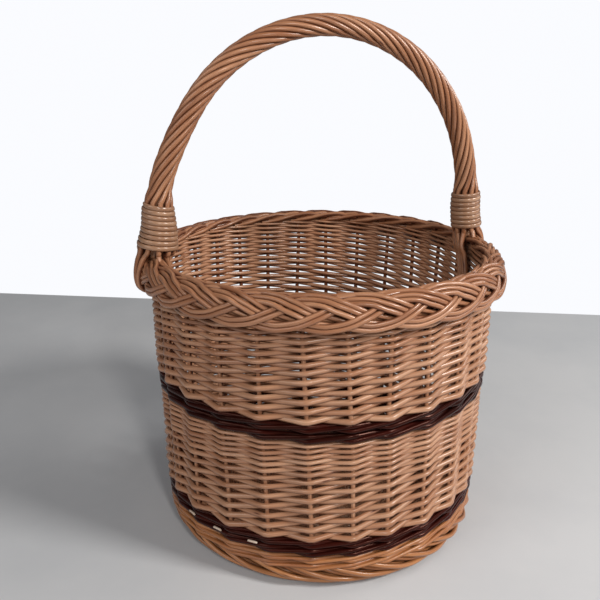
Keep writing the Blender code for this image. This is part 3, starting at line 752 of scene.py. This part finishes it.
def strap_points(turn, side):
    """Route of a handle rod below its lapping, from the lapping down."""
    out, across = math.cos(turn), math.sin(turn)
    foot = float(bow_x(LAP_BOTTOM))
    if abs(out) < 0.1:
        return [(side * foot, across * 0.0120, 0.2610), (side * foot, across * 0.0140, 0.2560)]
    near = abs(across) < 0.5
    lane = math.copysign(STRAP_LANES[0] if near else STRAP_LANES[1], across)
    if out > 0 and near:
        route = [(0.1606, 0.2596), (0.1626, 0.2550), (0.1638, 0.2500), (0.1648, 0.2445), (0.1650, 0.2390),
                 (0.1641, 0.2335), (0.1612, 0.2298), (0.1568, 0.2284)]
    elif out > 0:
        route = [(0.1566, 0.2598), (0.1598, 0.2554), (0.1617, 0.2500), (0.1630, 0.2445), (0.1635, 0.2390),
                 (0.1629, 0.2335), (0.1604, 0.2298), (0.1568, 0.2284)]
    else:
        route = [(0.1376 if near else 0.1408, 0.2598), (0.1380 if near else 0.1396, 0.2550),
                 (0.1384, 0.2500), (0.1384, 0.2450)]
        bottom = 0.196 + 0.006 * math.sin(5 * turn)
        for z in np.linspace(0.240, bottom, 5):
            route.append((float(stake_radius(z)) - 0.0074, float(z)))
        route.append((float(stake_radius(bottom)) - 0.0050, bottom - 0.004))
    points = []
    for r, z in route:
        if out > 0:
            shifted = lane * float(np.interp(z, [0.230, 0.254], [0.45, 1.0]))
            r -= STRAP_RIGHT_IN * float(np.interp(z, [0.236, 0.248], [0.0, 1.0])) * (side > 0)
        else:
            r -= STRAP_RIGHT_IN * (side > 0)
            shifted = lane * float(np.interp(z, [0.250, 0.260], [1.0, 1.2]))
            shifted -= side * STRAP_LEAN * (0.2590 - z)
        points.append((side * math.sqrt(r * r - shifted * shifted), shifted, z))
    return points


def make_handle_rods():
    """The rods that are roped round the bow, with their straps inside and outside the rim."""
    start = LINE.length_at(lap_top(-1), -1)
    finish = LINE.length_at(lap_top(1), 1)
    own = random.Random(10)
    for number in range(STRANDS):
        first = TAU * (number + 0.5) / STRANDS
        last = first - TAU * TWIST_STEPS / STRANDS
        lengths = np.linspace(0, LINE.total, 150)
        share = np.clip((lengths - start) / (finish - start), 0, 1)
        turn = first + (last - first) * share
        x, z, out_x, out_z = LINE.at(lengths)
        rope = np.clip(np.minimum(lengths - start, finish - lengths) / SWELL, 0, 1)
        rope = rope * rope * (3 - 2 * rope)
        thinner = 1 - TOP_THINNER * np.sin(math.pi * np.clip(lengths / LINE.total, 0, 1)) ** 2
        radius = STRAND_LAP_RADIUS + (STRAND_RADIUS * thinner - STRAND_LAP_RADIUS) * rope
        left_share = np.clip(1 - lengths / start, 0, 1)
        right_share = np.clip(1 - (LINE.total - lengths) / (LINE.total - finish), 0, 1)
        radius = radius + LAP_FLARE[-1] * left_share ** 1.5
        radius = radius + LAP_FLARE[1] * right_share ** 1.5
        points = np.stack([
            x + out_x * np.cos(turn) * radius,
            np.sin(turn) * radius,
            z + out_z * np.cos(turn) * radius,
        ], axis=-1)
        left = smooth(strap_points(first, -1)[::-1] + [tuple(points[0]), tuple(points[3])])
        right = smooth([tuple(points[-4]), tuple(points[-1])] + strap_points(last, 1))
        points = np.concatenate([left, points[4:-4], right])
        thinner = np.concatenate([np.ones(len(left)), thinner[4:-4], np.ones(len(right))])
        half = STRAND_HALF * thinner * own.uniform(0.96, 1.03)
        core = LINE.nearest(points)
        outwards = (points - core) / np.linalg.norm(points - core, axis=1)[:, None]
        lay_rods(f"handle_rod_{number + 1:02d}", [(points, half, False)], HONEY,
                 [f"handle_strand_{number + 1:02d}"], 3, [outwards], 0.7)


def smooth(route, steps=6):
    """A route through its points with rounded corners."""
    route = np.array(route)
    count = len(route)
    at = np.linspace(0, count - 1, (count - 1) * steps + 1)
    keys = np.arange(-1, count + 1)
    columns = []
    for axis in range(3):
        values = route[:, axis]
        padded = np.concatenate([[2 * values[0] - values[1]], values, [2 * values[-1] - values[-2]]])
        columns.append(eased(at, keys, padded, 0.5))
    return np.stack(columns, axis=-1)


def make_bow():
    """The peeled bow inside the roped handle."""
    tips = np.linspace(0.174, LAP_BOTTOM, 8, endpoint=False)
    lengths = np.linspace(0, LINE.total, 60)
    x, z = LINE.at(lengths)[:2]
    left = np.stack([-bow_x(tips), 0 * tips, tips], axis=-1)
    arch = np.stack([x, 0 * x, z], axis=-1)
    right = left[::-1] * np.array([-1, 1, 1])
    points = np.concatenate([left, arch, right])
    leg = np.linspace(0.0022, 0.0035, len(left))
    edge = np.minimum(lengths, LINE.total - lengths)
    half = np.interp(edge, [0, 0.05, 0.062], [0.0070, 0.0070, 0.0052])
    half = np.concatenate([leg, half, leg[::-1]])
    lay_rods("handle_core", [(points, half, False)], BUFF, ["handle_bow"])


def band_mesh(name, sections, material, nodes):
    """A closed band skinned through equal sections, with its grain along it."""
    own = random.Random(name)
    sections = np.array(sections)
    count, corners = sections.shape[:2]
    faces = []
    for i in range(count - 1):
        for j in range(corners):
            k = (j + 1) % corners
            faces.append((i * corners + j, i * corners + k, (i + 1) * corners + k, (i + 1) * corners + j))
    faces.append(tuple(range(corners))[::-1])
    faces.append(tuple((count - 1) * corners + j for j in range(corners)))
    mesh = bpy.data.meshes.new(name)
    mesh.from_pydata(sections.reshape(-1, 3).tolist(), [], faces)
    obj = bpy.data.objects.new(name, mesh)
    bpy.context.scene.collection.objects.link(obj)
    middles = sections.mean(axis=1)
    along = own.uniform(0, 20) + np.append(0, np.cumsum(np.linalg.norm(np.diff(middles, axis=0), axis=1)))
    edge = np.linspace(-SKEIN_HALF_WIDTH, SKEIN_HALF_WIDTH, corners)
    grain = np.zeros((count, corners, 3))
    grain[:, :, 0] = along[:, None]
    grain[:, :, 1] = edge
    tone_and_shade = np.zeros((count * corners, 4))
    tone_and_shade[:, 0] = np.repeat(0.5 + 0.5 * np.sin(along * 40), corners)
    tone_and_shade[:, 1] = 0.3
    tone_and_shade[:, 3] = 1
    write_surface(mesh, grain.reshape(-1, 3), tone_and_shade)
    only(obj)
    bpy.ops.object.mode_set(mode="EDIT")
    bpy.ops.mesh.select_all(action="SELECT")
    bpy.ops.mesh.normals_make_consistent(inside=False)
    bpy.ops.object.mode_set(mode="OBJECT")
    bpy.ops.object.shade_smooth_by_angle(angle=math.radians(50))
    return settle(obj, material, nodes)


def make_lapping(name, side):
    """One winding of flat skein round the foot of the handle, as one unbroken band."""
    turns = LAP_TURNS[side]
    own = random.Random(name)
    inner = STRAND_LAP_RADIUS + STRAND_HALF - 0.0001
    steps = turns * LAP_STEPS
    wander = [own.uniform(-1, 1) for _ in range(turns + 2)]
    profile = ((-1, 0.1), (-0.55, 0), (0.55, 0), (1, 0.1), (0.95, 0.62), (0.62, 0.95), (0, 1.06),
               (-0.62, 0.95), (-0.95, 0.62))
    sections = []
    for k in range(steps + 1):
        share = k / steps
        turn = TAU * k / LAP_STEPS
        z = LAP_BOTTOM + SKEIN_HALF_WIDTH + turns * LAP_PITCH * share
        at = k / LAP_STEPS
        low_turn = int(at)
        drift = wander[low_turn] * (1 - at + low_turn) + wander[low_turn + 1] * (at - low_turn)
        z += 0.00012 * drift * math.sin(turn)
        point = Vector((side * float(bow_x(z)), 0, z))
        reach = Vector((side * math.cos(turn), math.sin(turn), 0))
        point.z += LAP_TILT[side] * reach.x
        low = inner + LAP_FLARE[side] * (1 - share) ** 1.5 + 0.00015 * drift
        low -= 0.0014 * max(0, 1 - k / 6) + 0.0014 * max(0, 1 - (steps - k) / 6)
        section = []
        for across, up in profile:
            raised = point + reach * (low + up * SKEIN_THICKNESS)
            section.append(raised + Vector((0, 0, across * SKEIN_HALF_WIDTH)))
        sections.append(section)
    return band_mesh(name, sections, SKEIN, ["left_lapping" if side < 0 else "right_lapping"])


def make_base():
    """Crossed sticks, the paired weave round them, and the lashing round their crossing."""
    reach = BASE_EDGE - STICK_END_GAP
    number = 0
    for count, heading in ((4, BASE_TURN), (3, BASE_TURN + TAU / 4)):
        for k in range(count):
            number += 1
            lane = k - (count - 1) / 2
            fan = TAU * lane / (2 * BASE_STICKS)
            forward = np.array([math.cos(heading), math.sin(heading)])
            sideways = np.array([-math.sin(heading), math.cos(heading)])
            route = []
            for end in (-1, 1):
                tip = (forward * (end * math.cos(fan)) + sideways * math.sin(fan)) * reach
                knee = sideways * lane * STICK_SPACING + forward * end * STICK_KNEE
                half = [tip, tip * 0.66 + knee * 0.34, tip * 0.33 + knee * 0.67, knee]
                route += half if end < 0 else half[::-1]
            route = [(p[0], p[1], float(base_level(np.hypot(p[0], p[1])))) for p in route]
            points = smooth(route, 5)
            half = np.full(len(points), STICK_HALF)
            if count == 4:
                middle = np.hypot(points[:, 0], points[:, 1])
                half = half + 0.0016 * np.clip(1.6 - middle / 0.014, 0, 1)
            lay_rods(f"base_stick_rod_{number}", [(points, half, False)], BUFF,
                     [f"base_stick_{number}"])
    rods = []
    pitch = (BASE_EDGE - PAIRING_START) / PAIRING_ROWS
    for row in range(PAIRING_ROWS):
        radius = PAIRING_START + pitch * (row + 0.5)
        for lane in (-1, 1):
            steps = 12 * BASE_STICKS
            turn = TAU * np.arange(steps) / steps
            wave = np.cos(BASE_STICKS * (turn - BASE_TURN - TAU / 4)) * lane
            z = base_level(radius) + wave * PAIRING_SWING
            r = radius + 0.0006 * np.sin(BASE_STICKS * (turn - BASE_TURN)) * lane
            rods.append((place(r, turn, z), np.full(steps, pitch * 0.52), True))
    for ring in range(2):
        for lane in (-1, 1):
            steps = 64
            turn = TAU * np.arange(steps) / steps
            corner = np.abs(np.cos(2 * (turn - BASE_TURN)))
            radius = LASHING_RADIUS + LASHING_SPACING * ring + LASHING_CORNER * (1 - corner)
            z = base_level(STICK_KNEE) + lane * LASHING_SWING * np.cos(2 * (turn - BASE_TURN))
            rods.append((place(radius, turn, z), np.full(steps, LASHING_HALF), True))
    return lay_rods("base_pairing", rods, BUFF, ["base_weave"], 1)


def make_cut_ends():
    """Cut butts of three rods, which show as pale slips in the lower dark band."""
    rods = []
    for position, z in CUT_BUTTS:
        walked = np.array([-0.115, -0.11, 0.11, 0.115])
        r = stake_radius(z) + np.array([0.0052, 0.0056, 0.0056, 0.0052])
        half = np.array([0.0007, 0.0011, 0.0011, 0.0007])
        rods.append((place(r, STAKE_PHASE + BAY * (position + walked), z), half, False))
    return lay_rods("cut_butts", rods, CUT_WOOD, [])


def make_stage():
    """Pale floor, and a world that is white for the camera alone."""
    bpy.ops.object.select_all(action="DESELECT")
    away = Vector((math.cos(WALL_TURN), math.sin(WALL_TURN), 0))
    middle = away * (WALL_DISTANCE - FLOOR_SIZE / 2)
    bpy.ops.mesh.primitive_plane_add(size=FLOOR_SIZE, location=middle, rotation=(0, 0, WALL_TURN))
    floor = bpy.context.object
    floor.name = "studio_floor"
    material = bpy.data.materials.new("studio_floor")
    material.use_nodes = True
    tree = material.node_tree
    shader = tree.nodes["Principled BSDF"]
    shader.inputs["Roughness"].default_value = 0.42
    shader.inputs["Specular IOR Level"].default_value = 0.3
    coordinates = node(tree, "ShaderNodeTexCoord")
    veins = noise(tree, scaled(tree, coordinates.outputs["Object"], (2.5, 2.5, 2.5)), 6.0, 0.6)
    colour = mixed(tree, ranged(tree, veins, 0.4, 0.6), srgb(206, 207, 209), srgb(216, 216, 217))
    tree.links.new(colour, shader.inputs["Base Color"])
    floor.data.materials.append(material)
    world = bpy.data.worlds.new("studio")
    bpy.context.scene.world = world
    world.use_nodes = True
    tree = world.node_tree
    background = tree.nodes["Background"]
    path = node(tree, "ShaderNodeLightPath")
    background.inputs["Color"].default_value = (0.96, 0.97, 1.0, 1.0)
    strength = ranged(tree, path.outputs["Is Camera Ray"], 0.0, 1.0, 0.11, 1.0)
    tree.links.new(strength, background.inputs["Strength"])


def add_lamp(name, place_at, size, power, colour):
    """One round soft lamp that faces the middle of the basket."""
    bpy.ops.object.light_add(type="AREA", location=place_at)
    lamp = bpy.context.object
    lamp.name = name
    lamp.data.shape = "DISK"
    lamp.data.size = size
    lamp.data.energy = power
    lamp.data.color = colour
    direction = LAMP_AIM - Vector(place_at)
    lamp.rotation_euler = direction.to_track_quat("-Z", "Y").to_euler()


def make_lights():
    """Soft lamps from the right, the front and the left."""
    bpy.ops.object.select_all(action="DESELECT")
    add_lamp("key_lamp", (1.27, -1.20, 1.42), 0.5, 31, (1.0, 0.985, 0.96))
    add_lamp("front_lamp", (0.0, -1.77, 1.25), 0.22, 10, (1.0, 0.985, 0.96))
    add_lamp("side_lamp", (1.8, 0.2, 1.2), 1.0, 9, (1.0, 1.0, 1.0))
    add_lamp("fill_lamp", (-1.6, -0.8, 1.3), 1.4, 10, (0.97, 0.98, 1.0))


def make_camera():
    """The camera, turned by its azimuth, yaw, pitch and roll."""
    azimuth = Matrix.Rotation(CAMERA_AZIMUTH, 4, "Z")
    ahead = Vector((
        math.sin(CAMERA_YAW) * math.cos(CAMERA_PITCH),
        math.cos(CAMERA_YAW) * math.cos(CAMERA_PITCH),
        -math.sin(CAMERA_PITCH),
    ))
    right = Vector((math.cos(CAMERA_YAW), -math.sin(CAMERA_YAW), 0))
    up = right.cross(ahead)
    rolled = right * math.cos(CAMERA_ROLL) + up * math.sin(CAMERA_ROLL)
    up = rolled.cross(ahead)
    matrix = Matrix.Identity(4)
    for row in range(3):
        matrix[row][0] = rolled[row]
        matrix[row][1] = up[row]
        matrix[row][2] = -ahead[row]
        matrix[row][3] = (0, -CAMERA_DISTANCE, CAMERA_HEIGHT)[row]
    data = bpy.data.cameras.new("photo_camera")
    data.sensor_width = 36
    data.lens = 36 * FOCAL_SHARE
    data.clip_start = 0.01
    camera = bpy.data.objects.new("photo_camera", data)
    camera.matrix_world = azimuth @ matrix
    bpy.context.scene.collection.objects.link(camera)
    bpy.context.scene.camera = camera


make_camera()
make_stage()
make_lights()
make_stakes()
make_base()
make_foot_border()
make_wale("foot_waling", FOOT_WALE, FOOT, "foot_wale", 9)
make_wale("lower_dark_waling", LOWER_DARK, DARK, "lower_dark_wale", 17)
make_randing("lower_weave", LOWER_ROWS, "lower_randing", 1)
make_wale("middle_dark_waling", MIDDLE_DARK, DARK, "middle_dark_wale", 12)
make_randing("upper_weave", UPPER_ROWS, "upper_randing", 2)
make_plait()
make_bow()
make_handle_rods()
make_lapping("left_skein", -1)
make_lapping("right_skein", 1)
make_cut_ends()

bpy.context.scene.view_settings.view_transform = "Standard"
